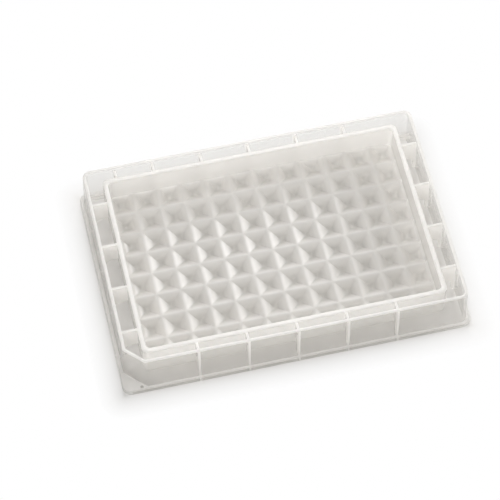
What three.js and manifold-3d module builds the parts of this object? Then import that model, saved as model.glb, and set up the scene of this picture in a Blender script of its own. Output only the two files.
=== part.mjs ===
// Reservoir plate: one injection-moulded piece of natural polypropylene.
//
// A basin with 96 shallow pyramid wells in its floor hangs inside an outer wall that stands on the
// foot of a standard microplate. Upright ribs tie the basin to the wall. Everything below the wall's
// rim is open from underneath, as a mould needs it.
//
// Millimetres, +Z up. The origin is the centre of the foot's underside, +X runs along the long side.

import * as THREE from 'three';
import { mergeVertices } from 'three/addons/utils/BufferGeometryUtils.js';
import Module from 'manifold-3d';

const wasm = await Module();
wasm.setup();

// Foot: the flange that holders and robot nests grip.
const FOOT_LENGTH = 127.76;
const FOOT_WIDTH = 85.48;
const FOOT_CORNER = 3.2;
const FOOT_HEIGHT = 2.3;
const END_LEDGE = 1.44;
const SIDE_LEDGE = 0.94;

// Outer wall, which leans in towards its rim.
const PLATE_HEIGHT = 19.1;
const WALL_THICKNESS = 1.3;
const WALL_DRAFT = THREE.MathUtils.degToRad(1.5);
const WALL_CORNER = 3;
const CORNER_CUT = 6.5;

// Basin, whose inside opens a little towards its rim.
const RIM_STEP = 1.1;
const END_POCKET = 5.4;
const SIDE_POCKET = 3.05;
const BASIN_WALL = 1.8;
const BASIN_CORNER = 2.2;
const BASIN_DRAFT = THREE.MathUtils.degToRad(1);
const BASIN_LIFT = 4.5;
const BASIN_EDGE = 1.2;

// Wells: pyramids on the microplate pitch, with rounded crests between them.
const WELL_PITCH = 9;
const WELL_DEPTH = 2.3;
const WELL_FLAT = 0.6;
const CREST_WIDTH = 1;
const FLOOR_THICKNESS = 1.2;

// Ribs between the basin and the outer wall.
const RIB_THICKNESS = 1;
const WELLS_PER_RIB = 2;
const END_RIBS = 4;
const SIDE_RIBS = 5;
const RIB_DEPTH = 9.5;
const RIB_ARCH = 2.5;
const RIB_LEG = 0.8;

// Small features: the low ties at the two far corners, one short stub, one ejector mark.
const TIE_TOP = 10.5;
const TIE_DEPTH = 2.5;
const STUB_INSET = 10.7;
const STUB_LENGTH = 2.4;
const STUB_DEPTH = 3;
const MARK_DIAMETER = 1.2;
const MARK_DEPTH = 0.3;
const MARK_INSET_X = 6.8;
const MARK_INSET_Y = 1.2;

// Rounds along the wall's and the basin's rims, and along the foot's upper edge.
const RIM_ROUND = 0.4;
const FOOT_ROUND = 0.3;

// Facets on round stretches.
const ARC_STEPS = 3;
const ROUND_STEPS = 1;
const EDGE_STEPS = 3;
const CREST_STEPS = 2;

// Overlap that makes joined solids share volume, and the reach of cutters beyond what they cut.
const BITE = 0.6;
const OVERCUT = 1;

// Sizes that follow from the ones above.
const wallHeight = PLATE_HEIGHT - FOOT_HEIGHT;
const wallSpread = wallHeight * Math.tan(WALL_DRAFT);
const rimLength = FOOT_LENGTH - 2 * (END_LEDGE + wallSpread);
const rimWidth = FOOT_WIDTH - 2 * (SIDE_LEDGE + wallSpread);
const basinTop = PLATE_HEIGHT - RIM_STEP;
const basinLength = rimLength - 2 * (WALL_THICKNESS + END_POCKET);
const basinWidth = rimWidth - 2 * (WALL_THICKNESS + SIDE_POCKET);
const cavityLength = basinLength - 2 * BASIN_WALL;
const cavityWidth = basinWidth - 2 * BASIN_WALL;
const wellBottom = BASIN_LIFT + FLOOR_THICKNESS;
const crestTop = wellBottom + WELL_DEPTH;

/** Level outline of a rounded rectangle; a cut takes its corner at -X, -Y off straight instead. */
function plateOutline(length, width, corner, cut = 0) {
  const x = length / 2;
  const y = width / 2;
  const shape = new THREE.Shape();
  if (cut > 0) {
    shape.moveTo(-x, -y + cut);
    shape.lineTo(-x + cut, -y);
  } else {
    shape.absarc(-x + corner, -y + corner, corner, Math.PI, 1.5 * Math.PI, false);
  }
  shape.absarc(x - corner, -y + corner, corner, 1.5 * Math.PI, 2 * Math.PI, false);
  shape.absarc(x - corner, y - corner, corner, 0, 0.5 * Math.PI, false);
  shape.absarc(-x + corner, y - corner, corner, 0.5 * Math.PI, Math.PI, false);
  return shape.getPoints(ARC_STEPS);
}

/** Closed solid through level outlines, from the lowest up, that all have as many points. */
function loft(sections) {
  const count = sections[0].outline.length;
  const positions = sections.flatMap(({ outline, z }) => outline.flatMap(({ x, y }) => [x, y, z]));
  const indices = [];
  for (let level = 0; level < sections.length - 1; level += 1) {
    for (let i = 0; i < count; i += 1) {
      const here = level * count + i;
      const next = level * count + ((i + 1) % count);
      indices.push(here, next, next + count, here, next + count, here + count);
    }
  }
  const top = (sections.length - 1) * count;
  for (const [a, b, c] of THREE.ShapeUtils.triangulateShape(sections[0].outline, [])) {
    indices.push(a, c, b, top + a, top + b, top + c);
  }
  const geometry = new THREE.BufferGeometry();
  geometry.setAttribute('position', new THREE.Float32BufferAttribute(positions, 3));
  geometry.setIndex(indices);
  return solidOf(geometry);
}

/** Solid from a closed geometry. */
function solidOf(geometry) {
  const bare = geometry.clone();
  bare.deleteAttribute('normal');
  bare.deleteAttribute('uv');
  const merged = mergeVertices(bare, 1e-5);
  const vertProperties = merged.getAttribute('position').array;
  const triVerts = new Uint32Array(merged.getIndex().array);
  return new wasm.Manifold(new wasm.Mesh({ numProp: 3, vertProperties, triVerts }));
}

/** Geometry from a solid. */
function geometryOf(solid) {
  const { vertProperties, triVerts } = solid.getMesh();
  const geometry = new THREE.BufferGeometry();
  geometry.setAttribute('position', new THREE.BufferAttribute(vertProperties, 3));
  geometry.setIndex(new THREE.BufferAttribute(triVerts, 1));
  geometry.computeVertexNormals();
  return geometry;
}

/** Insets and heights of a rounded edge, from where its upright face ends up to the level top. */
function roundedEdge(radius, top) {
  const places = [];
  for (let step = 0; step <= ROUND_STEPS; step += 1) {
    const angle = (step / ROUND_STEPS) * (Math.PI / 2);
    places.push({ inset: radius * (1 - Math.cos(angle)), z: top - radius * (1 - Math.sin(angle)) });
  }
  return places;
}

/** Outline of the outer wall at a height; a depth above nought gives its inner face. */
function wallOutline(z, depth = 0) {
  const spread = (PLATE_HEIGHT - z) * Math.tan(WALL_DRAFT) - depth;
  const cut = CORNER_CUT + 2 * spread + depth * Math.SQRT2;
  return plateOutline(rimLength + 2 * spread, rimWidth + 2 * spread, WALL_CORNER - depth, cut);
}

/** Foot and outer wall: a thin drafted shell on a flange, open below and above. */
function outerShell() {
  const footOutline = (inset) => {
    return plateOutline(FOOT_LENGTH - 2 * inset, FOOT_WIDTH - 2 * inset, FOOT_CORNER - inset);
  };
  const recessLength = FOOT_LENGTH - 2 * WALL_THICKNESS;
  const recessWidth = FOOT_WIDTH - 2 * WALL_THICKNESS;
  const recessOutline = plateOutline(recessLength, recessWidth, FOOT_CORNER - WALL_THICKNESS);
  const rimEdge = roundedEdge(RIM_ROUND, PLATE_HEIGHT);
  const foot = loft([
    { outline: footOutline(0), z: 0 },
    ...roundedEdge(FOOT_ROUND, FOOT_HEIGHT).map(({ inset, z }) => ({ outline: footOutline(inset), z })),
  ]);
  const recess = loft([
    { outline: recessOutline, z: -OVERCUT },
    { outline: recessOutline, z: FOOT_HEIGHT - WALL_THICKNESS },
  ]);
  const wall = loft([
    { outline: wallOutline(FOOT_HEIGHT - BITE), z: FOOT_HEIGHT - BITE },
    ...rimEdge.map(({ inset, z }) => ({ outline: wallOutline(z, inset), z })),
  ]);
  const inside = loft([
    { outline: wallOutline(-OVERCUT, WALL_THICKNESS), z: -OVERCUT },
    ...rimEdge.map(({ inset, z }) => ({ outline: wallOutline(z, WALL_THICKNESS - inset), z })),
    { outline: wallOutline(PLATE_HEIGHT, WALL_THICKNESS - RIM_ROUND), z: PLATE_HEIGHT + OVERCUT },
  ]);
  return foot.add(wall).subtract(recess).subtract(inside);
}

/** Bar whose top is a row of grooves along Y, one for each well that the span takes. */
function groovedBar(span, length, drop, steps) {
  const grooves = Math.ceil(span / WELL_PITCH);
  const half = WELL_PITCH / 2;
  const slope = WELL_DEPTH / (half - CREST_WIDTH / 4 - WELL_FLAT / 2);
  const peak = crestTop - drop + (slope * CREST_WIDTH) / 4;
  const shoulder = peak - (slope * CREST_WIDTH) / 2;
  const valley = wellBottom - drop;
  const start = (-grooves * WELL_PITCH) / 2;
  const shape = new THREE.Shape();
  shape.moveTo(start - CREST_WIDTH / 2, shoulder);
  for (let i = 0; i <= grooves; i += 1) {
    const crest = start + i * WELL_PITCH;
    shape.quadraticCurveTo(crest, peak, crest + CREST_WIDTH / 2, shoulder);
    if (i < grooves) {
      shape.lineTo(crest + half - WELL_FLAT / 2, valley);
      shape.lineTo(crest + half + WELL_FLAT / 2, valley);
      shape.lineTo(crest + WELL_PITCH - CREST_WIDTH / 2, shoulder);
    }
  }
  shape.lineTo(-start + CREST_WIDTH / 2, -OVERCUT);
  shape.lineTo(start - CREST_WIDTH / 2, -OVERCUT);
  const bar = new THREE.ExtrudeGeometry(shape, { depth: length, bevelEnabled: false, curveSegments: steps });
  bar.translate(0, 0, -length / 2);
  bar.rotateX(Math.PI / 2);
  return bar;
}

/** All that lies below the well floor; the drop lowers it to the floor's underside. */
function belowWells(drop, steps) {
  const columns = groovedBar(cavityLength, cavityWidth + 2 * WELL_PITCH, drop, steps);
  const rows = groovedBar(cavityWidth, cavityLength + 2 * WELL_PITCH, drop, steps);
  rows.rotateZ(Math.PI / 2);
  return solidOf(columns).add(solidOf(rows));
}

/** Basin: straight walls, a rounded lower edge and a floor of pyramid wells of even thickness. */
function basin() {
  const blockOutline = (inset) => {
    return plateOutline(basinLength - 2 * inset, basinWidth - 2 * inset, BASIN_CORNER);
  };
  const cavityOutline = (z, flare = 0) => {
    const spread = (z - basinTop) * Math.tan(BASIN_DRAFT) + flare;
    return plateOutline(cavityLength + 2 * spread, cavityWidth + 2 * spread, BASIN_CORNER - BITE);
  };
  const sections = [];
  for (let step = 0; step <= EDGE_STEPS; step += 1) {
    const angle = (step / EDGE_STEPS) * (Math.PI / 2);
    const inset = BASIN_EDGE * (1 - Math.sin(angle));
    sections.push({ outline: blockOutline(inset), z: BASIN_LIFT + BASIN_EDGE * (1 - Math.cos(angle)) });
  }
  const low = BASIN_LIFT - OVERCUT;
  const opening = [{ outline: cavityOutline(low), z: low }];
  for (const { inset, z } of roundedEdge(RIM_ROUND, basinTop)) {
    sections.push({ outline: blockOutline(inset), z });
    opening.push({ outline: cavityOutline(z, inset), z });
  }
  opening.push({ outline: cavityOutline(basinTop, RIM_ROUND), z: basinTop + OVERCUT });
  const cavity = loft(opening);
  const wells = cavity.subtract(belowWells(0, CREST_STEPS));
  const hollow = cavity.intersect(belowWells(FLOOR_THICKNESS, 1));
  return loft(sections).subtract(wells).subtract(hollow);
}

/** Upright web along +X, from the basin to the outer wall, with an arch under it and a leg. */
function rib(basinFace, wallFace, top, depth, arch, foot) {
  const legFace = wallFace - RIB_LEG;
  const radius = Math.min(arch, legFace - basinFace);
  const under = top - depth;
  const shape = new THREE.Shape();
  shape.moveTo(basinFace - BITE, top);
  shape.lineTo(basinFace - BITE, under);
  shape.lineTo(legFace - radius, under);
  shape.absarc(legFace - radius, under - radius, radius, Math.PI / 2, 0, true);
  shape.lineTo(legFace, foot);
  shape.lineTo(wallFace + BITE, foot);
  shape.lineTo(wallFace + BITE, top);
  const options = { depth: RIB_THICKNESS, bevelEnabled: false, curveSegments: 2 * ARC_STEPS };
  const web = new THREE.ExtrudeGeometry(shape, options);
  web.translate(0, 0, -RIB_THICKNESS / 2);
  web.rotateX(Math.PI / 2);
  return web;
}

/** Even places along one side for a number of ribs, each so many wells from the next. */
function ribPlaces(count) {
  const places = [];
  for (let i = 0; i < count; i += 1) {
    places.push((i - (count - 1) / 2) * WELLS_PER_RIB * WELL_PITCH);
  }
  return places;
}

/** Every rib: four at each end and five along each side. */
function ribs() {
  const webs = [];
  for (const turn of [0, Math.PI]) {
    for (const place of ribPlaces(END_RIBS)) {
      const wallFace = rimLength / 2 - WALL_THICKNESS;
      const web = rib(basinLength / 2, wallFace, basinTop, RIB_DEPTH, RIB_ARCH, FOOT_HEIGHT);
      webs.push(web.translate(0, place, 0).rotateZ(turn));
    }
  }
  for (const turn of [Math.PI / 2, -Math.PI / 2]) {
    for (const place of ribPlaces(SIDE_RIBS)) {
      const wallFace = rimWidth / 2 - WALL_THICKNESS;
      const web = rib(basinWidth / 2, wallFace, basinTop, RIB_DEPTH, RIB_ARCH, FOOT_HEIGHT);
      webs.push(web.translate(0, place, 0).rotateZ(turn));
    }
  }
  return webs;
}

/** Low ties beside the two far corners, and the short stub on the far wall. */
function cornerWebs() {
  const place = basinWidth / 2 - BASIN_CORNER / 2;
  const length = END_POCKET + 2 * BITE;
  const middle = (basinLength + END_POCKET) / 2;
  const webs = [];
  for (const side of [-1, 1]) {
    const tie = new THREE.BoxGeometry(length, RIB_THICKNESS, TIE_DEPTH);
    webs.push(tie.translate(side * middle, place, TIE_TOP - TIE_DEPTH / 2));
  }
  const stub = new THREE.BoxGeometry(RIB_THICKNESS, STUB_LENGTH + BITE, STUB_DEPTH);
  const wallFace = rimWidth / 2 - WALL_THICKNESS;
  const stubX = -rimLength / 2 + WALL_THICKNESS + STUB_INSET;
  webs.push(stub.translate(stubX, wallFace + (BITE - STUB_LENGTH) / 2, basinTop - STUB_DEPTH / 2));
  return webs;
}

/** Round ejector mark on the ledge at the cut corner. */
function ejectorMark() {
  const mark = new THREE.CylinderGeometry(MARK_DIAMETER / 2, MARK_DIAMETER / 2, 2 * MARK_DEPTH, 12);
  mark.rotateX(Math.PI / 2);
  mark.translate(-FOOT_LENGTH / 2 + MARK_INSET_X, -FOOT_WIDTH / 2 + MARK_INSET_Y, FOOT_HEIGHT);
  return solidOf(mark);
}

/** The whole moulding as one solid. */
function moulding() {
  let solid = outerShell().add(basin());
  for (const web of [...ribs(), ...cornerWebs()]) {
    solid = solid.add(solidOf(web));
  }
  return solid.subtract(ejectorMark());
}

const polypropylene = new THREE.MeshStandardMaterial({ color: 0xdededa, roughness: 0.4, metalness: 0 });

const plate = new THREE.Mesh(geometryOf(moulding()), polypropylene);
plate.name = 'reservoir_plate';

const group = new THREE.Group();
group.add(plate);

export default group;
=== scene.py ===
"""Looks of the reservoir plate: fine moulded surfaces, milky polypropylene, camera, floor and light."""

from __future__ import annotations

import logging
import math
from dataclasses import dataclass
from enum import Enum

import bpy
from mathutils import Matrix, Vector

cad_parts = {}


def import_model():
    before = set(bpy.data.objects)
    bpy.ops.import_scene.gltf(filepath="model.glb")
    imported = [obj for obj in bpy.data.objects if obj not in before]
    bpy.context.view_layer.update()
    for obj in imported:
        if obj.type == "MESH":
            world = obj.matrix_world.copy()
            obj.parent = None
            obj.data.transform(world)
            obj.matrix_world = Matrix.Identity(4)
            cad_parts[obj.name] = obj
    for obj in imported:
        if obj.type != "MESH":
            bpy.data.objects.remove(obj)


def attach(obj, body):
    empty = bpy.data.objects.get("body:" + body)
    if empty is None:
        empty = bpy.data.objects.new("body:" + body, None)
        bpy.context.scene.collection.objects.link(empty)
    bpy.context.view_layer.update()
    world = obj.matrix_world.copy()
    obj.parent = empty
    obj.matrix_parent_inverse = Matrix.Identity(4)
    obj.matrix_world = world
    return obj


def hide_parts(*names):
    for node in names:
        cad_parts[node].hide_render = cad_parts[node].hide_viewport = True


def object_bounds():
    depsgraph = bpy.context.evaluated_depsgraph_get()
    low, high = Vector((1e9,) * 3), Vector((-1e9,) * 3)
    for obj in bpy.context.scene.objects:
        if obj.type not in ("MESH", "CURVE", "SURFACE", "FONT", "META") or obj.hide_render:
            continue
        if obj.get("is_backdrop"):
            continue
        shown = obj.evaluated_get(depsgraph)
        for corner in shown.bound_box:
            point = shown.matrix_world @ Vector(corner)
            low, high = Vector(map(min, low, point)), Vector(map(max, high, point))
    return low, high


LOG = logging.getLogger("reservoir_plate")
MM = 0.001
NODE = "reservoir_plate"
BODY = "root"

Point = tuple[float, float]
Loop = list[Vector]


class Turn(Enum):
    """Side of the plate that a row of ribs stands on, as a turn about the upright axis."""

    RIGHT = 0.0
    BACK = math.pi / 2
    LEFT = math.pi
    FRONT = -math.pi / 2


class Region(Enum):
    """Feature of the moulding, with the haze of its plastic; a well runs from SHADED_VALLEY up to
    LIT_CREST, clearer low down as painted shade in its pit and milkier high up as painted light on its
    crests.
    """

    SHELL = 0.12
    BASIN = 0.65
    SHADED_VALLEY = 0.30
    LIT_CREST = 0.88
    RIB = 0.85
    END_RIB = 0.60
    EDGE = 1.0


# --- Meshes -----------------------------------------------------------------------------------


def object_from(name: str, vertices: list, faces: list) -> bpy.types.Object:
    """Makes a mesh object and links it to the scene.

    Args:
        name: Name of the object and of its mesh.
        vertices: Corner positions in metres.
        faces: Corner numbers of each face.

    Returns:
        The new object.
    """
    mesh = bpy.data.meshes.new(name)
    mesh.from_pydata([tuple(v) for v in vertices], [], faces)
    mesh.validate()
    obj = bpy.data.objects.new(name, mesh)
    bpy.context.scene.collection.objects.link(obj)
    return obj


def settled(obj: bpy.types.Object) -> bpy.types.Object:
    """Turns an object with modifiers into a plain mesh.

    Args:
        obj: The object whose modifiers are worked out and removed.

    Returns:
        The same object, with the result as its mesh.
    """
    graph = bpy.context.evaluated_depsgraph_get()
    mesh = bpy.data.meshes.new_from_object(obj.evaluated_get(graph), depsgraph=graph)
    obj.modifiers.clear()
    obj.data = mesh
    return obj


def joined(base: bpy.types.Object, other: bpy.types.Object, operation: str) -> bpy.types.Object:
    """Adds or cuts one closed solid to or from another.

    Args:
        base: The solid that is changed.
        other: The solid that is added or cut away, and then removed.
        operation: UNION or DIFFERENCE.

    Returns:
        The base, with the result as its mesh.
    """
    boolean = base.modifiers.new("join", "BOOLEAN")
    boolean.solver = "MANIFOLD"
    boolean.operation = operation
    boolean.object = other
    settled(base)
    bpy.data.objects.remove(other)
    return base


def ring(name: str, loops: list[Loop]) -> bpy.types.Object:
    """Makes a closed ring from loops that follow one another round its cross-section.

    Args:
        name: Name of the object.
        loops: Closed loops with as many points each; the last joins the first.

    Returns:
        The ring as an object.
    """
    count = len(loops[0])
    vertices = [point for loop in loops for point in loop]
    faces = []
    for level in range(len(loops)):
        low = level * count
        high = (level + 1) % len(loops) * count
        for i in range(count):
            j = (i + 1) % count
            faces.append((low + i, low + j, high + j, high + i))
    return object_from(name, vertices, faces)


def prism(name: str, outline: list[Point], thickness: float) -> bpy.types.Object:
    """Makes an upright web from its side view.

    Args:
        name: Name of the object.
        outline: Points of the side view, X and Z, round from +X to +Z, which turns the faces outwards.
        thickness: Thickness along Y, half to each side.

    Returns:
        The web as an object.
    """
    half = thickness / 2
    count = len(outline)
    vertices = [Vector((x, -half, z)) for x, z in outline] + [Vector((x, half, z)) for x, z in outline]
    faces = [tuple(range(count)), tuple(reversed(range(count, 2 * count)))]
    for i in range(count):
        j = (i + 1) % count
        faces.append((j, i, i + count, j + count))
    return object_from(name, vertices, faces)


def arc(centre: Point, radius: float, start: float, end: float, steps: int) -> list[Point]:
    """Points on an arc.

    Args:
        centre: Centre of the arc.
        radius: Its radius.
        start: First angle in degrees.
        end: Last angle in degrees.
        steps: Number of chords.

    Returns:
        The points, both ends included.
    """
    points = []
    for i in range(steps + 1):
        angle = math.radians(start + (end - start) * i / steps)
        points.append((centre[0] + radius * math.cos(angle), centre[1] + radius * math.sin(angle)))
    return points


@dataclass(frozen=True)
class Outline:
    """Level outline of a rounded rectangle, whose corner at -X, -Y may be cut off straight."""

    length: float
    width: float
    corner: float
    cut: float = 0.0
    cut_round: float = 0.8 * MM
    least_round: float = 0.05 * MM
    steps: int = 11

    def loop(self, z: float) -> Loop:
        """Points of the outline, anticlockwise from the corner at -X, -Y.

        Args:
            z: Height of the loop.

        Returns:
            The points, as many for every outline with the same steps.
        """
        x, y, r = self.length / 2, self.width / 2, max(self.corner, self.least_round)
        if self.cut:
            points = self._cut_corner(x, y)
        else:
            points = arc((-x + r, -y + r), r, 180, 270, self.steps)
        points += arc((x - r, -y + r), r, 270, 360, self.steps)
        points += arc((x - r, y - r), r, 0, 90, self.steps)
        points += arc((-x + r, y - r), r, 90, 180, self.steps)
        return [Vector((px, py, z)) for px, py in points]

    def _cut_corner(self, x: float, y: float) -> list[Point]:
        """Points of the straight cut, with a small round at each of its ends.

        Args:
            x: Half of the length.
            y: Half of the width.

        Returns:
            As many points as a rounded corner has.
        """
        r, turn = self.cut_round, 45
        setback = r * math.tan(math.radians(turn / 2))
        half = self.steps // 2
        first = arc((-x + r, -y + self.cut + setback), r, 180, 180 + turn, half)
        second = arc((-x + self.cut + setback, -y + r), r, 270 - turn, 270, half)
        return first + second


# --- Node trees -------------------------------------------------------------------------------


class Value:
    """A socket of a node tree, or a number, that sums and products can be written with."""

    def __init__(self, tree: "Tree", socket: object) -> None:
        """Holds the tree and the socket or number."""
        self.tree = tree
        self.socket = socket

    def _math(self, operation: str, *others: object) -> "Value":
        """Adds one Math node.

        Args:
            operation: The Math node's operation.
            others: The operands after this one.

        Returns:
            The result.
        """
        sockets = {i: value for i, value in enumerate((self, *others))}
        return self.tree.node("ShaderNodeMath", {"operation": operation}, sockets)

    def __add__(self, other: object) -> "Value":
        """This plus other."""
        return self._math("ADD", other)

    def __radd__(self, other: object) -> "Value":
        """Other plus this."""
        return self._math("ADD", other)

    def __sub__(self, other: object) -> "Value":
        """This minus other."""
        return self._math("SUBTRACT", other)

    def __rsub__(self, other: object) -> "Value":
        """Other minus this."""
        return Value(self.tree, other)._math("SUBTRACT", self)

    def __mul__(self, other: object) -> "Value":
        """This times other."""
        return self._math("MULTIPLY", other)

    def __rmul__(self, other: object) -> "Value":
        """Other times this."""
        return self._math("MULTIPLY", other)

    def __truediv__(self, other: object) -> "Value":
        """This over other."""
        return self._math("DIVIDE", other)

    def __rtruediv__(self, other: object) -> "Value":
        """Other over this."""
        return Value(self.tree, other)._math("DIVIDE", self)

    def __abs__(self) -> "Value":
        """Size without sign."""
        return self._math("ABSOLUTE")

    def sine(self) -> "Value":
        """Sine, from radians."""
        return self._math("SINE")

    def root(self) -> "Value":
        """Square root."""
        return self._math("SQRT")

    def part(self) -> "Value":
        """What is left above the whole number below."""
        return self._math("FRACT")

    def at_least(self, other: object) -> "Value":
        """The larger of the two."""
        return self._math("MAXIMUM", other)

    def at_most(self, other: object) -> "Value":
        """The smaller of the two."""
        return self._math("MINIMUM", other)

    def held(self) -> "Value":
        """Held between 0 and 1."""
        return self.at_least(0.0).at_most(1.0)


class Tree:
    """A node tree that is filled in from Python expressions."""

    def __init__(self, nodes: bpy.types.NodeTree) -> None:
        """Holds the tree."""
        self.nodes = nodes

    def node(self, kind: str, settings: dict | None = None, sockets: dict | None = None,
             output: object = 0) -> Value:
        """Adds a node.

        Args:
            kind: Type of the node.
            settings: Its own settings, set first.
            sockets: Values or links of its inputs, by name or number.
            output: Name or number of the output that is wanted.

        Returns:
            The output.
        """
        node = self.nodes.nodes.new(kind)
        for key, value in (settings or {}).items():
            setattr(node, key, value)
        for key, value in (sockets or {}).items():
            self.feed(node.inputs[key], value)
        return Value(self, node.outputs[output])

    def feed(self, socket: bpy.types.NodeSocket, value: object) -> None:
        """Links a socket, or sets it.

        Args:
            socket: The input.
            value: A value of this tree, a list of them where the input takes several, or a plain number,
                colour or vector.
        """
        if isinstance(value, list):
            for part in value:
                self.feed(socket, part)
            return
        source = value.socket if isinstance(value, Value) else value
        if isinstance(source, bpy.types.NodeSocket):
            self.nodes.links.new(source, socket)
        else:
            socket.default_value = source

    def axes(self, vector: Value) -> list[Value]:
        """Splits a vector into its X, Y and Z."""
        split = self.node("ShaderNodeSeparateXYZ", {}, {0: vector}).socket.node
        return [Value(self, output) for output in split.outputs]


class ShaderTree(Tree):
    """A material's node tree."""

    def __init__(self, name: str) -> None:
        """Makes a material with an empty tree."""
        self.material = bpy.data.materials.new(name)
        self.material.use_nodes = True
        super().__init__(self.material.node_tree)
        self.nodes.nodes.clear()

    def made(self, surface: Value) -> bpy.types.Material:
        """Ends the tree.

        Args:
            surface: The shader that the surface shows.

        Returns:
            The material.
        """
        output = self.nodes.nodes.new("ShaderNodeOutputMaterial")
        self.feed(output.inputs["Surface"], surface)
        return self.material


class MeshTree(Tree):
    """A Geometry Nodes tree with named inputs, made into a plain mesh."""

    def __init__(self, name: str) -> None:
        """Makes an empty tree with its geometry input and output."""
        super().__init__(bpy.data.node_groups.new(name, "GeometryNodeTree"))
        kinds = {"name": "Geometry", "socket_type": "NodeSocketGeometry"}
        self.nodes.interface.new_socket(in_out="INPUT", **kinds)
        self.nodes.interface.new_socket(in_out="OUTPUT", **kinds)
        self.inputs = self.nodes.nodes.new("NodeGroupInput")
        self.output = self.nodes.nodes.new("NodeGroupOutput")
        self.values: dict[str, object] = {}

    def given(self, name: str, kind: str, value: object) -> Value:
        """Adds a named input.

        Args:
            name: Name of the input.
            kind: Its socket type, such as Float or Int.
            value: What it is set to on the modifier.

        Returns:
            The input, for use in the tree.
        """
        item = self.nodes.interface.new_socket(name=name, in_out="INPUT", socket_type=f"NodeSocket{kind}")
        self.values[item.identifier] = value
        return Value(self, self.inputs.outputs[name])

    def made(self, name: str, geometry: Value, material: bpy.types.Material) -> bpy.types.Object:
        """Ends the tree and turns its result into a mesh object.

        Args:
            name: Name of the object.
            geometry: What the tree makes.
            material: Material of all its faces.

        Returns:
            The object, without the modifier.
        """
        real = self.node("GeometryNodeRealizeInstances", {}, {0: geometry})
        dressed = self.node("GeometryNodeSetMaterial", {}, {"Geometry": real, "Material": material})
        self.feed(self.output.inputs[0], dressed)
        obj = object_from(name, [], [])
        modifier = obj.modifiers.new("build", "NODES")
        modifier.node_group = self.nodes
        for identifier, value in self.values.items():
            modifier[identifier] = value
        return settled(obj)


# --- Finish -----------------------------------------------------------------------------------


@dataclass(frozen=True)
class NaturalPolypropylene:
    """Milky, uncoloured polypropylene with a satin skin from the mould.

    Light that meets the plastic goes straight through, a little tinted, or is scattered to the front or to
    the back. How much of it is scattered is the haze, which the mesh holds for each corner of its faces,
    because a rim that is seen edge on is whiter than a wall that is seen through. On the floor of wells
    the haze rises from the bottom of each well to its crests, which is painted shade in the pits and
    painted light on the crests.
    """

    name: str = "natural_polypropylene"
    haze: str = "haze"
    rib_haze: float = 0.8
    rib_blur: float = 0.2 * MM
    colour: tuple[float, float, float] = (0.975, 0.964, 0.946)
    through: tuple[float, float, float] = (0.92, 0.917, 0.91)
    glow: float = 0.62
    index: float = 1.49
    low_roughness: float = 0.20
    high_roughness: float = 0.26
    grain_size: float = 0.35 * MM
    grain_height: float = 0.002 * MM
    ripple_size: float = 9 * MM
    ripple_height: float = 0.004 * MM
    cloud_size: float = 14 * MM
    cloud_share: float = 0.03

    def material(self, ribs: "Ribs") -> bpy.types.Material:
        """Builds the shader.

        Args:
            ribs: The ribs, behind which a wall is seen through more plastic.

        Returns:
            The material.
        """
        tree = ShaderTree(self.name)
        place = tree.node("ShaderNodeTexCoord", {}, {}, "Object")
        clouds = self._noise(tree, place, self.cloud_size, detail=2)
        grain = self._noise(tree, place, self.grain_size, detail=3)
        ripple = self._noise(tree, place, self.ripple_size, detail=1)
        dark = tuple(c * (1 - self.cloud_share) for c in self.colour) + (1,)
        # Inputs 6 and 7 of a Mix node are its two colours, and output 2 is the mixed colour.
        colour = tree.node("ShaderNodeMix", {"data_type": "RGBA"},
                           {0: clouds, 6: dark, 7: self.colour + (1,)}, 2)
        roughness = self.low_roughness + clouds * (self.high_roughness - self.low_roughness)
        height = grain * self.grain_height + ripple * self.ripple_height
        normal = tree.node("ShaderNodeBump", {}, {"Height": height, "Distance": 1.0, "Strength": 1.0})
        front = tree.node("ShaderNodeBsdfPrincipled", {}, {
            "Base Color": colour, "Roughness": roughness, "Specular IOR Level": 0.0, "Normal": normal,
        })
        back = tree.node("ShaderNodeBsdfTranslucent", {}, {"Color": self.colour + (1,), "Normal": normal})
        haze = tree.node("ShaderNodeAttribute", {"attribute_name": self.haze}, {}, "Fac")
        haze = haze + (1 - haze) * self._backed(tree, place, ribs) * self.rib_haze
        milk = tree.node("ShaderNodeMixShader", {}, {0: self.glow, 1: front, 2: back})
        clear = tree.node("ShaderNodeBsdfTransparent", {}, {"Color": self.through + (1,)})
        body = tree.node("ShaderNodeMixShader", {}, {0: haze, 1: clear, 2: milk})
        shine = tree.node("ShaderNodeBsdfGlossy", {}, {"Roughness": roughness, "Normal": normal})
        edge = tree.node("ShaderNodeFresnel", {}, {"IOR": self.index, "Normal": normal})
        within = tree.node("ShaderNodeNewGeometry", {}, {}, "Backfacing")
        skin = tree.node("ShaderNodeMixShader", {}, {0: edge * (1 - within), 1: body, 2: shine})
        return tree.made(skin)

    def _backed(self, tree: Tree, place: Value, ribs: "Ribs") -> Value:
        """Works out where a rib stands behind the wall.

        Args:
            tree: The shader's tree.
            place: Where on the object.
            ribs: The ribs.

        Returns:
            1 behind a rib, 0 elsewhere.
        """
        x, y, _ = tree.axes(place)
        inner_end = ribs.basin.length / 2 - ribs.basin.thickness
        inner_side = ribs.basin.width / 2 - ribs.basin.thickness
        sides = ((x, ribs.side_count, y, inner_side), (y, ribs.end_count, x, inner_end))
        total = 0.0
        for along, count, across, inner in sides:
            steps = along / ribs.spacing + count / 2
            off = abs(steps.part() - 0.5) * ribs.spacing
            edge = ((ribs.thickness / 2 - off) / self.rib_blur + 0.5).held()
            beyond = ((abs(across) - inner) / self.rib_blur).held()
            within = ((count * ribs.spacing / 2 - abs(along)) / self.rib_blur).held()
            total = total + edge * beyond * within
        return total.at_most(1.0)

    @staticmethod
    def _noise(tree: Tree, place: Value, size: float, detail: int) -> Value:
        """Adds a noise pattern.

        Args:
            tree: The shader's tree.
            place: Where on the object.
            size: Size of its features in metres.
            detail: Number of finer layers.

        Returns:
            Its strength, from 0 to 1.
        """
        return tree.node("ShaderNodeTexNoise", {}, {"Vector": place, "Scale": 1 / size, "Detail": detail})


# --- The moulding -----------------------------------------------------------------------------


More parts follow.
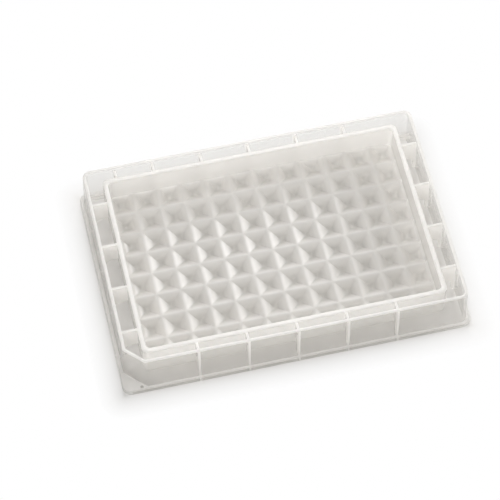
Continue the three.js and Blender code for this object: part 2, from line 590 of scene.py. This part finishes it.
@dataclass(frozen=True)
class OuterShell:
    """Foot and outer wall: a thin leaning shell on a flange, with every edge softened."""

    foot_length: float
    foot_width: float
    height: float
    foot_corner: float = 3.2 * MM
    foot_height: float = 2.3 * MM
    end_ledge: float = 1.44 * MM
    side_ledge: float = 0.94 * MM
    thickness: float = 1.3 * MM
    draft: float = math.radians(1.5)
    corner: float = 3 * MM
    cut: float = 6.5 * MM
    rim_round: float = 0.4 * MM
    foot_round: float = 0.3 * MM
    fillet: float = 0.4 * MM
    steps: int = 4

    @property
    def spread(self) -> float:
        """How much further out the wall stands at the foot than at the rim."""
        return (self.height - self.foot_height) * math.tan(self.draft)

    @property
    def rim_length(self) -> float:
        """Length over the rim."""
        return self.foot_length - 2 * (self.end_ledge + self.spread)

    @property
    def rim_width(self) -> float:
        """Width over the rim."""
        return self.foot_width - 2 * (self.side_ledge + self.spread)

    def wall_loop(self, depth: float, z: float) -> Loop:
        """Loop round the wall.

        Args:
            depth: How far inside the outer face.
            z: Height.

        Returns:
            The loop.
        """
        spread = (self.height - z) * math.tan(self.draft) - depth
        cut = self.cut + 2 * spread + depth * math.sqrt(2)
        size = (self.rim_length + 2 * spread, self.rim_width + 2 * spread)
        return Outline(*size, self.corner - depth, cut).loop(z)

    def foot_loop(self, depth: float, z: float) -> Loop:
        """Loop round the foot.

        Args:
            depth: How far inside the foot's outer face.
            z: Height.

        Returns:
            The loop.
        """
        size = (self.foot_length - 2 * depth, self.foot_width - 2 * depth)
        return Outline(*size, self.foot_corner - depth).loop(z)

    def build(self) -> bpy.types.Object:
        """Builds the shell.

        Returns:
            The shell as one closed ring.
        """
        t, top, ledge = self.thickness, self.height, self.foot_height
        f, r, g = self.foot_round, self.rim_round, self.fillet
        under = ledge - t
        foot = arc((f, f), f, 270, 180, self.steps) + arc((f, ledge - f), f, 180, 90, self.steps)
        wall = arc((-g, ledge + g), g, 270, 360, self.steps)
        wall += arc((r, top - r), r, 180, 90, self.steps)
        wall += arc((t - r, top - r), r, 90, 0, self.steps)
        wall += arc((t - f, under + f), f, 0, -90, self.steps)
        recess = arc((t + g, under - g), g, 90, 180, self.steps)
        recess += arc((t - f, f), f, 0, -90, self.steps)
        loops = [self.foot_loop(depth, z) for depth, z in foot]
        loops += [self.wall_loop(depth, z) for depth, z in wall]
        loops += [self.foot_loop(depth, z) for depth, z in recess]
        return ring("outer_shell", loops)


@dataclass(frozen=True)
class Basin:
    """Basin wall: a closed ring with a rounded rim and a rounded lower edge."""

    length: float
    width: float
    top: float
    lift: float = 4.5 * MM
    thickness: float = 1.8 * MM
    corner: float = 2.2 * MM
    inner_corner: float = 1.6 * MM
    draft: float = math.radians(1)
    rim_round: float = 0.45 * MM
    edge: float = 0.6 * MM
    steps: int = 5

    def outer_loop(self, inset: float, z: float) -> Loop:
        """Loop on the outer face, or inside it by the inset, at a height."""
        size = (self.length - 2 * inset, self.width - 2 * inset)
        return Outline(*size, self.corner - inset / 2).loop(z)

    def inner_loop(self, inset: float, z: float) -> Loop:
        """Loop on the inner face, or nearer the outer face by the inset, at a height."""
        spread = (z - self.top) * math.tan(self.draft) - self.thickness + inset
        size = (self.length + 2 * spread, self.width + 2 * spread)
        return Outline(*size, self.inner_corner + inset).loop(z)

    def half_inside(self, z: float) -> Point:
        """Half of the clear length and width between the walls at a height."""
        spread = (z - self.top) * math.tan(self.draft) - self.thickness
        return self.length / 2 + spread, self.width / 2 + spread

    def build(self) -> bpy.types.Object:
        """Builds the wall.

        Returns:
            The wall as one closed ring.
        """
        r, e, top = self.rim_round, self.edge, self.top
        outer = arc((e, self.lift + e), e, 270, 180, self.steps)
        outer += arc((r, top - r), r, 180, 90, self.steps)
        inner = arc((r, top - r), r, 90, 180, self.steps)
        loops = [self.outer_loop(inset, z) for inset, z in outer]
        loops += [self.inner_loop(inset, z) for inset, z in inner]
        loops.append(self.inner_loop(0, self.lift))
        return ring("basin_wall", loops)


@dataclass(frozen=True)
class WellFloor:
    """Floor of pyramid wells: one sheet of even thickness with rounded crests.

    Each well has `cuts` grid lines, drawn to its crests and valley by `gather`. `blend` rounds the lines
    where its four sides meet, and `fillet` the join with the basin wall.
    """

    bottom: float
    half_inside: Point
    pitch: float = 9 * MM
    columns: int = 12
    rows: int = 8
    depth: float = 2.3 * MM
    valley: float = 0.85 * MM
    crest: float = 1.0 * MM
    thickness: float = 1.2 * MM
    fillet: float = 0.8 * MM
    blend: float = 0.04 * MM
    cuts: int = 16
    gather: float = 0.8
    weld: float = 0.01 * MM

    @property
    def slope(self) -> float:
        """Rise of a well's side for each unit across."""
        return self.depth / (self.pitch / 2 - self.crest / 4 - self.valley / 2)

    def build(self, material: bpy.types.Material) -> bpy.types.Object:
        """Builds the floor from a grid that is denser at the crests and valleys.

        Args:
            material: Its finish.

        Returns:
            The floor as a closed sheet.
        """
        tree = MeshTree("well_floor")
        pitch = tree.given("Pitch", "Float", self.pitch)
        slope = tree.given("Slope", "Float", self.slope)
        bottom = tree.given("Bottom", "Float", self.bottom)
        thickness = tree.given("Thickness", "Float", self.thickness)
        fillet = tree.given("Fillet", "Float", self.fillet)
        blend = tree.given("Blend", "Float", self.blend)
        counts = [tree.given("Columns", "Int", self.columns), tree.given("Rows", "Int", self.rows)]
        halves = [tree.given("Half Length", "Float", self.half_inside[0]),
                  tree.given("Half Width", "Float", self.half_inside[1])]
        cuts = tree.given("Cuts", "Int", self.cuts)
        grid = tree.node("GeometryNodeMeshGrid", {}, {
            "Size X": counts[0] * pitch, "Size Y": counts[1] * pitch,
            "Vertices X": counts[0] * cuts + 1, "Vertices Y": counts[1] * cuts + 1,
        })
        up = tree.node("ShaderNodeCombineXYZ", {}, {2: 1.0})
        raised = tree.node("GeometryNodeExtrudeMesh", {"mode": "FACES"},
                           {"Mesh": grid, "Offset": up, "Offset Scale": 1.0, "Individual": False})
        under = tree.node("GeometryNodeFlipFaces", {}, {0: grid})
        both = tree.node("GeometryNodeJoinGeometry", {}, {0: [raised, under]})
        closed = tree.node("GeometryNodeMergeByDistance", {}, {"Geometry": both, "Distance": self.weld})
        *level, side = tree.axes(tree.node("GeometryNodeInputPosition"))
        places, heights, rise = [], [], 0.0
        for at, count, half in zip(level, counts, halves):
            place, height = self._across(at, count, pitch, slope)
            over = (abs(place) - (half - fillet)).at_least(0.0).at_most(fillet)
            rise = rise + (fillet - (fillet * fillet - over * over).at_least(0.0).root())
            places.append(place)
            heights.append(height)
        apart = heights[0] - heights[1]
        pit = ((heights[0] + heights[1]) + (apart * apart + blend * blend).root() - blend) * 0.5
        z = bottom + pit + side * rise - (1 - side) * thickness
        spot = tree.node("ShaderNodeCombineXYZ", {}, {0: places[0], 1: places[1], 2: z})
        shaped = tree.node("GeometryNodeSetPosition", {}, {"Geometry": closed, "Position": spot})
        triangles = tree.node("GeometryNodeTriangulate", {"quad_method": "LONGEST_DIAGONAL"}, {0: shaped})
        return tree.made("well_floor", triangles, material)

    def _across(self, at: Value, count: Value, pitch: Value, slope: Value) -> tuple[Value, Value]:
        """Moves grid lines towards crests and valleys, and gives the groove's height there.

        Args:
            at: Place along one axis on the even grid.
            count: Number of wells along that axis.
            pitch: Width of one well.
            slope: Steepness of the groove's sides.

        Returns:
            The new place along the axis, and the height above the valley.
        """
        wells = at / pitch + count / 2
        two_waves = 4 * math.pi
        shift = (wells * two_waves).sine() * (self.gather / two_waves)
        moved = wells - shift
        place = (moved - count / 2) * pitch
        # The wells are counted from 1 here, so that no rounding takes the first crest below 0.
        out = abs((moved + 1.0).part() - 0.5) * pitch
        crest = (out - (pitch / 2 - self.crest / 2)).at_least(0.0)
        low = out.at_most(self.valley)
        high = (out - self.valley).at_least(0.0)
        height = slope * (low * low / (2 * self.valley) + high - crest * crest / self.crest)
        return place, height


@dataclass(frozen=True)
class Ribs:
    """Upright webs between the basin and the outer wall, arched underneath."""

    shell: OuterShell
    basin: Basin
    spacing: float = 18 * MM
    end_count: int = 4
    side_count: int = 5
    thickness: float = 1.0 * MM
    depth: float = 9.5 * MM
    arch: float = 2.5 * MM
    leg: float = 0.8 * MM
    bite: float = 0.6 * MM
    soft: float = 0.18 * MM
    soft_segments: int = 2
    soft_angle: float = math.radians(40)
    steps: int = 8

    def web(self, basin_face: float, wall_face: float) -> bpy.types.Object:
        """Builds one web along +X.

        Args:
            basin_face: Where the basin's outer face is.
            wall_face: Where the outer wall's inner face is, at the rim.

        Returns:
            The web.
        """
        leg_face = wall_face - self.leg
        radius = min(self.arch, leg_face - basin_face)
        under = self.basin.top - self.depth
        foot = self.shell.foot_height
        inner, outer = basin_face - self.bite, wall_face + self.bite
        outline = [(inner, self.basin.top), (inner, under)]
        outline += arc((leg_face - radius, under - radius), radius, 90, 0, self.steps)
        outline += [(leg_face, foot), (outer, foot), (outer, self.basin.top)]
        web = prism("rib_web", outline, self.thickness)
        self.soften(web)
        return web

    def soften(self, obj: bpy.types.Object) -> None:
        """Rounds the edges of a web.

        Args:
            obj: The web.
        """
        bevel = obj.modifiers.new("soften", "BEVEL")
        bevel.width = self.soft
        bevel.segments = self.soft_segments
        bevel.limit_method = "ANGLE"
        bevel.angle_limit = self.soft_angle
        settled(obj)

    def row(self, web: bpy.types.Object, count: int, turn: Turn, material: bpy.types.Material
            ) -> bpy.types.Object:
        """Repeats a web along one side.

        Args:
            web: The web, along +X.
            count: Number of webs.
            turn: The side that they stand on.
            material: Their finish.

        Returns:
            The row as one object.
        """
        tree = MeshTree("rib_row")
        number = tree.given("Count", "Int", count)
        spacing = tree.given("Spacing", "Float", self.spacing)
        angle = tree.given("Turn", "Float", turn.value)
        one = tree.given("Web", "Object", web)
        start = tree.node("ShaderNodeCombineXYZ", {}, {1: (1 - number) * spacing / 2})
        step = tree.node("ShaderNodeCombineXYZ", {}, {1: spacing})
        line = tree.node("GeometryNodeMeshLine", {},
                         {"Count": number, "Start Location": start, "Offset": step})
        shape = tree.node("GeometryNodeObjectInfo", {}, {"Object": one}, "Geometry")
        webs = tree.node("GeometryNodeInstanceOnPoints", {}, {"Points": line, "Instance": shape})
        about = tree.node("ShaderNodeCombineXYZ", {}, {2: angle})
        turned = tree.node("GeometryNodeTransform", {}, {"Geometry": webs, "Rotation": about})
        return tree.made("ribs", turned, material)

    def build(self, material: bpy.types.Material) -> list[bpy.types.Object]:
        """Builds all four rows.

        Args:
            material: Their finish.

        Returns:
            One object for each side.
        """
        t = self.shell.thickness
        end = self.web(self.basin.length / 2, self.shell.rim_length / 2 - t)
        side = self.web(self.basin.width / 2, self.shell.rim_width / 2 - t)
        rows = [self.row(end, self.end_count, turn, material) for turn in (Turn.LEFT, Turn.RIGHT)]
        rows += [self.row(side, self.side_count, turn, material) for turn in (Turn.FRONT, Turn.BACK)]
        for web in (end, side):
            bpy.data.objects.remove(web)
        return rows


@dataclass(frozen=True)
class CornerWebs:
    """Low ties beside the two far corners, and the short stub on the far wall."""

    shell: OuterShell
    basin: Basin
    ribs: Ribs
    tie_top: float = 10.5 * MM
    tie_depth: float = 2.5 * MM
    stub_inset: float = 10.7 * MM
    stub_length: float = 2.4 * MM
    stub_depth: float = 3.0 * MM

    def block(self, centre: Vector, size: Vector) -> bpy.types.Object:
        """Builds a softened block.

        Args:
            centre: Its middle.
            size: Its full size.

        Returns:
            The block.
        """
        x, y, z = size / 2
        outline = [(x, -z), (x, z), (-x, z), (-x, -z)]
        block = prism("corner_web", outline, 2 * y)
        block.data.transform(Matrix.Translation(centre))
        self.ribs.soften(block)
        return block

    def build(self) -> list[bpy.types.Object]:
        """Builds the ties and the stub.

        Returns:
            The three webs.
        """
        t, bite, thick = self.shell.thickness, self.ribs.bite, self.ribs.thickness
        inner_end = self.shell.rim_length / 2 - t
        basin_end = self.basin.length / 2
        y = (self.basin.width - self.basin.corner) / 2
        tie = Vector((inner_end - basin_end + 2 * bite, thick, self.tie_depth))
        middle = (inner_end + basin_end) / 2
        z = self.tie_top - self.tie_depth / 2
        webs = [self.block(Vector((side * middle, y, z)), tie) for side in (-1, 1)]
        wall_face = self.shell.rim_width / 2 - t
        spot = Vector((self.stub_inset - inner_end, wall_face + (bite - self.stub_length) / 2,
                       self.basin.top - self.stub_depth / 2))
        webs.append(self.block(spot, Vector((thick, self.stub_length + bite, self.stub_depth))))
        return webs


@dataclass(frozen=True)
class Moulding:
    """The whole plate as one closed piece, in place of the plain model.

    A face whose normal rises above `level` faces up, and above `flat` it is flat. A well is clearest up to
    the share `painted_shade_below` of its depth, which paints shade into its pit, and milkiest from the
    share `painted_light_above`, which paints light on its crests.
    """

    low: Vector
    high: Vector
    rim_step: float = 1.1 * MM
    end_pocket: float = 5.4 * MM
    side_pocket: float = 3.05 * MM
    mark_diameter: float = 1.2 * MM
    mark_depth: float = 0.8 * MM
    mark_inset: Point = (6.8 * MM, 1.2 * MM)
    mark_sides: int = 24
    crease: float = math.radians(32)
    area_weight: int = 80
    level: float = 0.5
    flat: float = 0.98
    margin: float = 0.1 * MM
    painted_shade_below: float = 0.15
    painted_light_above: float = 0.80

    def mark(self, shell: OuterShell) -> bpy.types.Object:
        """Builds the cutter for the ejector mark on the ledge at the cut corner.

        Args:
            shell: The shell that it is cut into.

        Returns:
            The cutter.
        """
        radius = self.mark_diameter / 2
        chords = self.mark_sides - 1
        points = arc((0, 0), radius, 0, 360 * chords / self.mark_sides, chords)
        x = self.low.x + self.mark_inset[0]
        y = self.low.y + self.mark_inset[1]
        vertices = []
        for z in (-self.mark_depth, self.mark_depth):
            vertices += [Vector((x + px, y + py, shell.foot_height + z)) for px, py in points]
        count = len(points)
        faces = [tuple(reversed(range(count))), tuple(range(count, 2 * count))]
        for i in range(count):
            j = (i + 1) % count
            faces.append((i, j, j + count, i + count))
        return object_from("ejector_mark", vertices, faces)

    def build(self, finish: NaturalPolypropylene) -> bpy.types.Object:
        """Builds every feature, joins them and dresses the result.

        Args:
            finish: The plastic.

        Returns:
            The plate.
        """
        size = self.high - self.low
        shell = OuterShell(size.x, size.y, size.z)
        gap = shell.thickness
        basin = Basin(
            length=shell.rim_length - 2 * (gap + self.end_pocket),
            width=shell.rim_width - 2 * (gap + self.side_pocket),
            top=size.z - self.rim_step,
        )
        bottom = basin.lift + WellFloor.thickness
        crest = bottom + WellFloor.depth
        floor = WellFloor(bottom, basin.half_inside(crest))
        ribs = Ribs(shell, basin)
        material = finish.material(ribs)
        plate = shell.build()
        plate.data.materials.append(material)
        parts = [basin.build(), floor.build(material), *ribs.build(material)]
        parts += CornerWebs(shell, basin, ribs).build()
        for part in parts:
            LOG.info("adding %s: %d faces", part.name, len(part.data.polygons))
            joined(plate, part, "UNION")
        joined(plate, self.mark(shell), "DIFFERENCE")
        plate.name = "reservoir_plate_moulding"
        self.dress(plate, material)
        self.mark_haze(plate, finish, shell, basin, floor)
        return plate

    def mark_haze(self, plate: bpy.types.Object, finish: NaturalPolypropylene, shell: OuterShell,
                  basin: Basin, floor: WellFloor) -> None:
        """Gives the corners of each face the haze of the feature that the face belongs to.

        Args:
            plate: The plate.
            finish: The plastic.
            shell: The outer shell.
            basin: The basin wall.
            floor: The floor of wells. It is made clearer at the bottom of each well, so that the real
                shade under the plate shows through there as painted shade in the pits, and milkier at the
                crests as painted light.
        """
        mesh = plate.data
        attribute = mesh.attributes.new(finish.haze, "FLOAT", "CORNER")
        crest = floor.bottom + floor.depth
        inside = basin.half_inside(crest)
        wall = (shell.rim_length / 2 - shell.thickness, shell.rim_width / 2 - shell.thickness)
        cut = sum(wall) - shell.cut
        foot_zone = basin.lift / 2
        values = []
        for face in mesh.polygons:
            x, y, z = abs(face.center.x), abs(face.center.y), face.center.z
            if x < inside[0] and y < inside[1] and z < crest + floor.fillet:
                # The floor's haze rises with height in each well: painted shade in the pits, painted light
                # on the crests.
                lift = 0 if face.normal.z > 0 else floor.thickness
                values += [self.floor_haze_with_painted_shade(mesh.vertices[v].co.z + lift, floor) for v in face.vertices]
                continue
            if face.normal.z > self.level and (z > shell.foot_height or face.normal.z < self.flat):
                region = Region.EDGE
            elif x > wall[0] or y > wall[1] or x + y > cut or z < foot_zone:
                region = Region.SHELL
            elif x > basin.length / 2 + self.margin:
                region = Region.END_RIB
            elif y > basin.width / 2 + self.margin:
                region = Region.RIB
            else:
                region = Region.BASIN
            values += [region.value] * len(face.vertices)
        attribute.data.foreach_set("value", values)

    def floor_haze_with_painted_shade(self, z: float, floor: WellFloor) -> float:
        """Haze of the floor's upper side at a height: clearest low in a well, which paints shade into the
        pit, and milkiest near the crest, which paints light on it.
        """
        rise = (z - floor.bottom) / floor.depth
        share = (rise - self.painted_shade_below) / (self.painted_light_above - self.painted_shade_below)
        share = min(max(share, 0.0), 1.0)
        return Region.SHADED_VALLEY.value + share * (Region.LIT_CREST.value - Region.SHADED_VALLEY.value)

    def dress(self, plate: bpy.types.Object, material: bpy.types.Material) -> None:
        """Gives the plate its finish and smooth shading between its creases.

        Args:
            plate: The plate.
            material: Its finish.
        """
        mesh = plate.data
        mesh.materials.clear()
        mesh.materials.append(material)
        mesh.polygons.foreach_set("material_index", [0] * len(mesh.polygons))
        mesh.shade_smooth()
        mesh.set_sharp_from_angle(angle=self.crease)
        weighted = plate.modifiers.new("even", "WEIGHTED_NORMAL")
        weighted.keep_sharp = True
        weighted.weight = self.area_weight
        settled(plate)
        LOG.info("%s: %d faces", plate.name, len(plate.data.polygons))


# --- Studio -----------------------------------------------------------------------------------


@dataclass(frozen=True)
class Lamp:
    """Square soft lamp that faces the plate.

    Its bearing is in degrees from the right round to the back, and its height in degrees above the floor.
    """

    name: str
    bearing: float
    height: float
    side: float
    power: float

    def hang(self, distance: float) -> None:
        """Hangs the lamp.

        Args:
            distance: How far from the middle of the plate's foot.
        """
        turn, rise = math.radians(self.bearing), math.radians(self.height)
        level = math.cos(rise)
        out = Vector((level * math.cos(turn), level * math.sin(turn), math.sin(rise)))
        data = bpy.data.lights.new(self.name, "AREA")
        data.size = self.side
        data.energy = self.power
        lamp = bpy.data.objects.new(self.name, data)
        lamp.location = out * distance
        lamp.rotation_mode = "QUATERNION"
        lamp.rotation_quaternion = (-out).to_track_quat("-Z", "Y")
        bpy.context.scene.collection.objects.link(lamp)


@dataclass(frozen=True)
class Studio:
    """Pale floor, soft light from all round but most of it from the right and behind, and the camera."""

    azimuth: float = -12.57
    elevation: float = 58.76
    roll: float = -0.45
    distance: float = 0.8579
    lens: float = 170.1
    sensor: float = 36.0
    nearest: float = 0.01
    target: tuple[float, float, float] = (-7.97 * MM, 1.62 * MM, 8.0 * MM)
    floor_size: float = 6.0
    floor_colour: tuple[float, float, float] = (0.83, 0.818, 0.80)
    shadow_reach: float = 9 * MM
    lamp_distance: float = 0.9
    lamps: tuple[Lamp, ...] = (
        Lamp("key", bearing=37, height=19.5, side=0.2, power=1.35),
        Lamp("gloss", bearing=77, height=59, side=0.25, power=1.7),
        Lamp("right", bearing=0, height=22, side=0.5, power=4.2),
        Lamp("back_right", bearing=60, height=22, side=0.5, power=2.2),
        Lamp("back", bearing=90, height=12, side=0.5, power=3.4),
        Lamp("left", bearing=180, height=22, side=0.5, power=1.9),
        Lamp("front", bearing=260, height=18, side=0.5, power=3.0),
        Lamp("fill", bearing=235, height=45, side=0.5, power=1.6),
        Lamp("top", bearing=200, height=80, side=0.5, power=1.2),
    )

    def camera(self) -> None:
        """Places the camera and makes it the scene's."""
        a, e, roll = (math.radians(v) for v in (self.azimuth, self.elevation, self.roll))
        back = Vector((math.sin(a) * math.cos(e), -math.cos(a) * math.cos(e), math.sin(e)))
        level = Vector((math.cos(a), math.sin(a), 0))
        upright = back.cross(level)
        right = math.cos(roll) * level + math.sin(roll) * upright
        up = back.cross(right)
        data = bpy.data.cameras.new("camera")
        data.lens = self.lens
        data.sensor_width = self.sensor
        data.clip_start = self.nearest
        camera = bpy.data.objects.new("camera", data)
        place = Matrix((right, up, back)).transposed().to_4x4()
        place.translation = Vector(self.target) + back * self.distance
        camera.matrix_world = place
        bpy.context.scene.collection.objects.link(camera)
        bpy.context.scene.camera = camera

    def floor(self, low: Vector, high: Vector) -> None:
        """Lays the floor, which fades to plain white outside the plate's soft shadow.

        Args:
            low: Lowest corner of the plate's box.
            high: Its highest corner.
        """
        half = self.floor_size / 2
        corners = [(-half, -half, 0), (half, -half, 0), (half, half, 0), (-half, half, 0)]
        floor = object_from("floor", corners, [(0, 1, 2, 3)])
        tree = ShaderTree("floor_paper")
        x, y, _ = tree.axes(tree.node("ShaderNodeTexCoord", {}, {}, "Object"))
        past_end = (abs(x) - (high.x - low.x) / 2).at_least(0.0)
        past_side = (abs(y) - (high.y - low.y) / 2).at_least(0.0)
        away = ((past_end * past_end + past_side * past_side).root() / self.shadow_reach).at_most(1.0)
        seen = tree.node("ShaderNodeLightPath", {}, {}, "Is Camera Ray")
        paper = tree.node("ShaderNodeBsdfDiffuse", {}, {"Color": self.floor_colour + (1,)})
        white = tree.node("ShaderNodeEmission", {}, {"Strength": 1.0})
        both = tree.node("ShaderNodeMixShader", {}, {0: seen * away.root(), 1: paper, 2: white})
        floor.data.materials.append(tree.made(both))
        floor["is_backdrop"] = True

    def world(self) -> None:
        """Makes the room white to the eye, while it gives the plate no light."""
        world = bpy.data.worlds.new("room")
        world.use_nodes = True
        tree = Tree(world.node_tree)
        seen = tree.node("ShaderNodeLightPath", {}, {}, "Is Camera Ray")
        background = world.node_tree.nodes["Background"]
        background.inputs["Color"].default_value = (1, 1, 1, 1)
        tree.feed(background.inputs["Strength"], seen)
        bpy.context.scene.world = world

    def build(self, low: Vector, high: Vector) -> None:
        """Sets up the camera, the floor and the light.

        Args:
            low: Lowest corner of the plate's box.
            high: Its highest corner.
        """
        self.camera()
        self.floor(low, high)
        self.world()
        for lamp in self.lamps:
            lamp.hang(self.lamp_distance)
        bpy.context.scene.view_settings.view_transform = "Standard"


def main() -> None:
    """Builds the plate in its frame, and the studio round it."""
    logging.basicConfig(level=logging.INFO, format="%(name)s: %(message)s")
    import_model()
    low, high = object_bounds()
    Studio().build(low, high)
    plate = Moulding(low, high).build(NaturalPolypropylene())
    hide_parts(NODE)
    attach(plate, BODY)


if __name__ == "__main__":
    main()
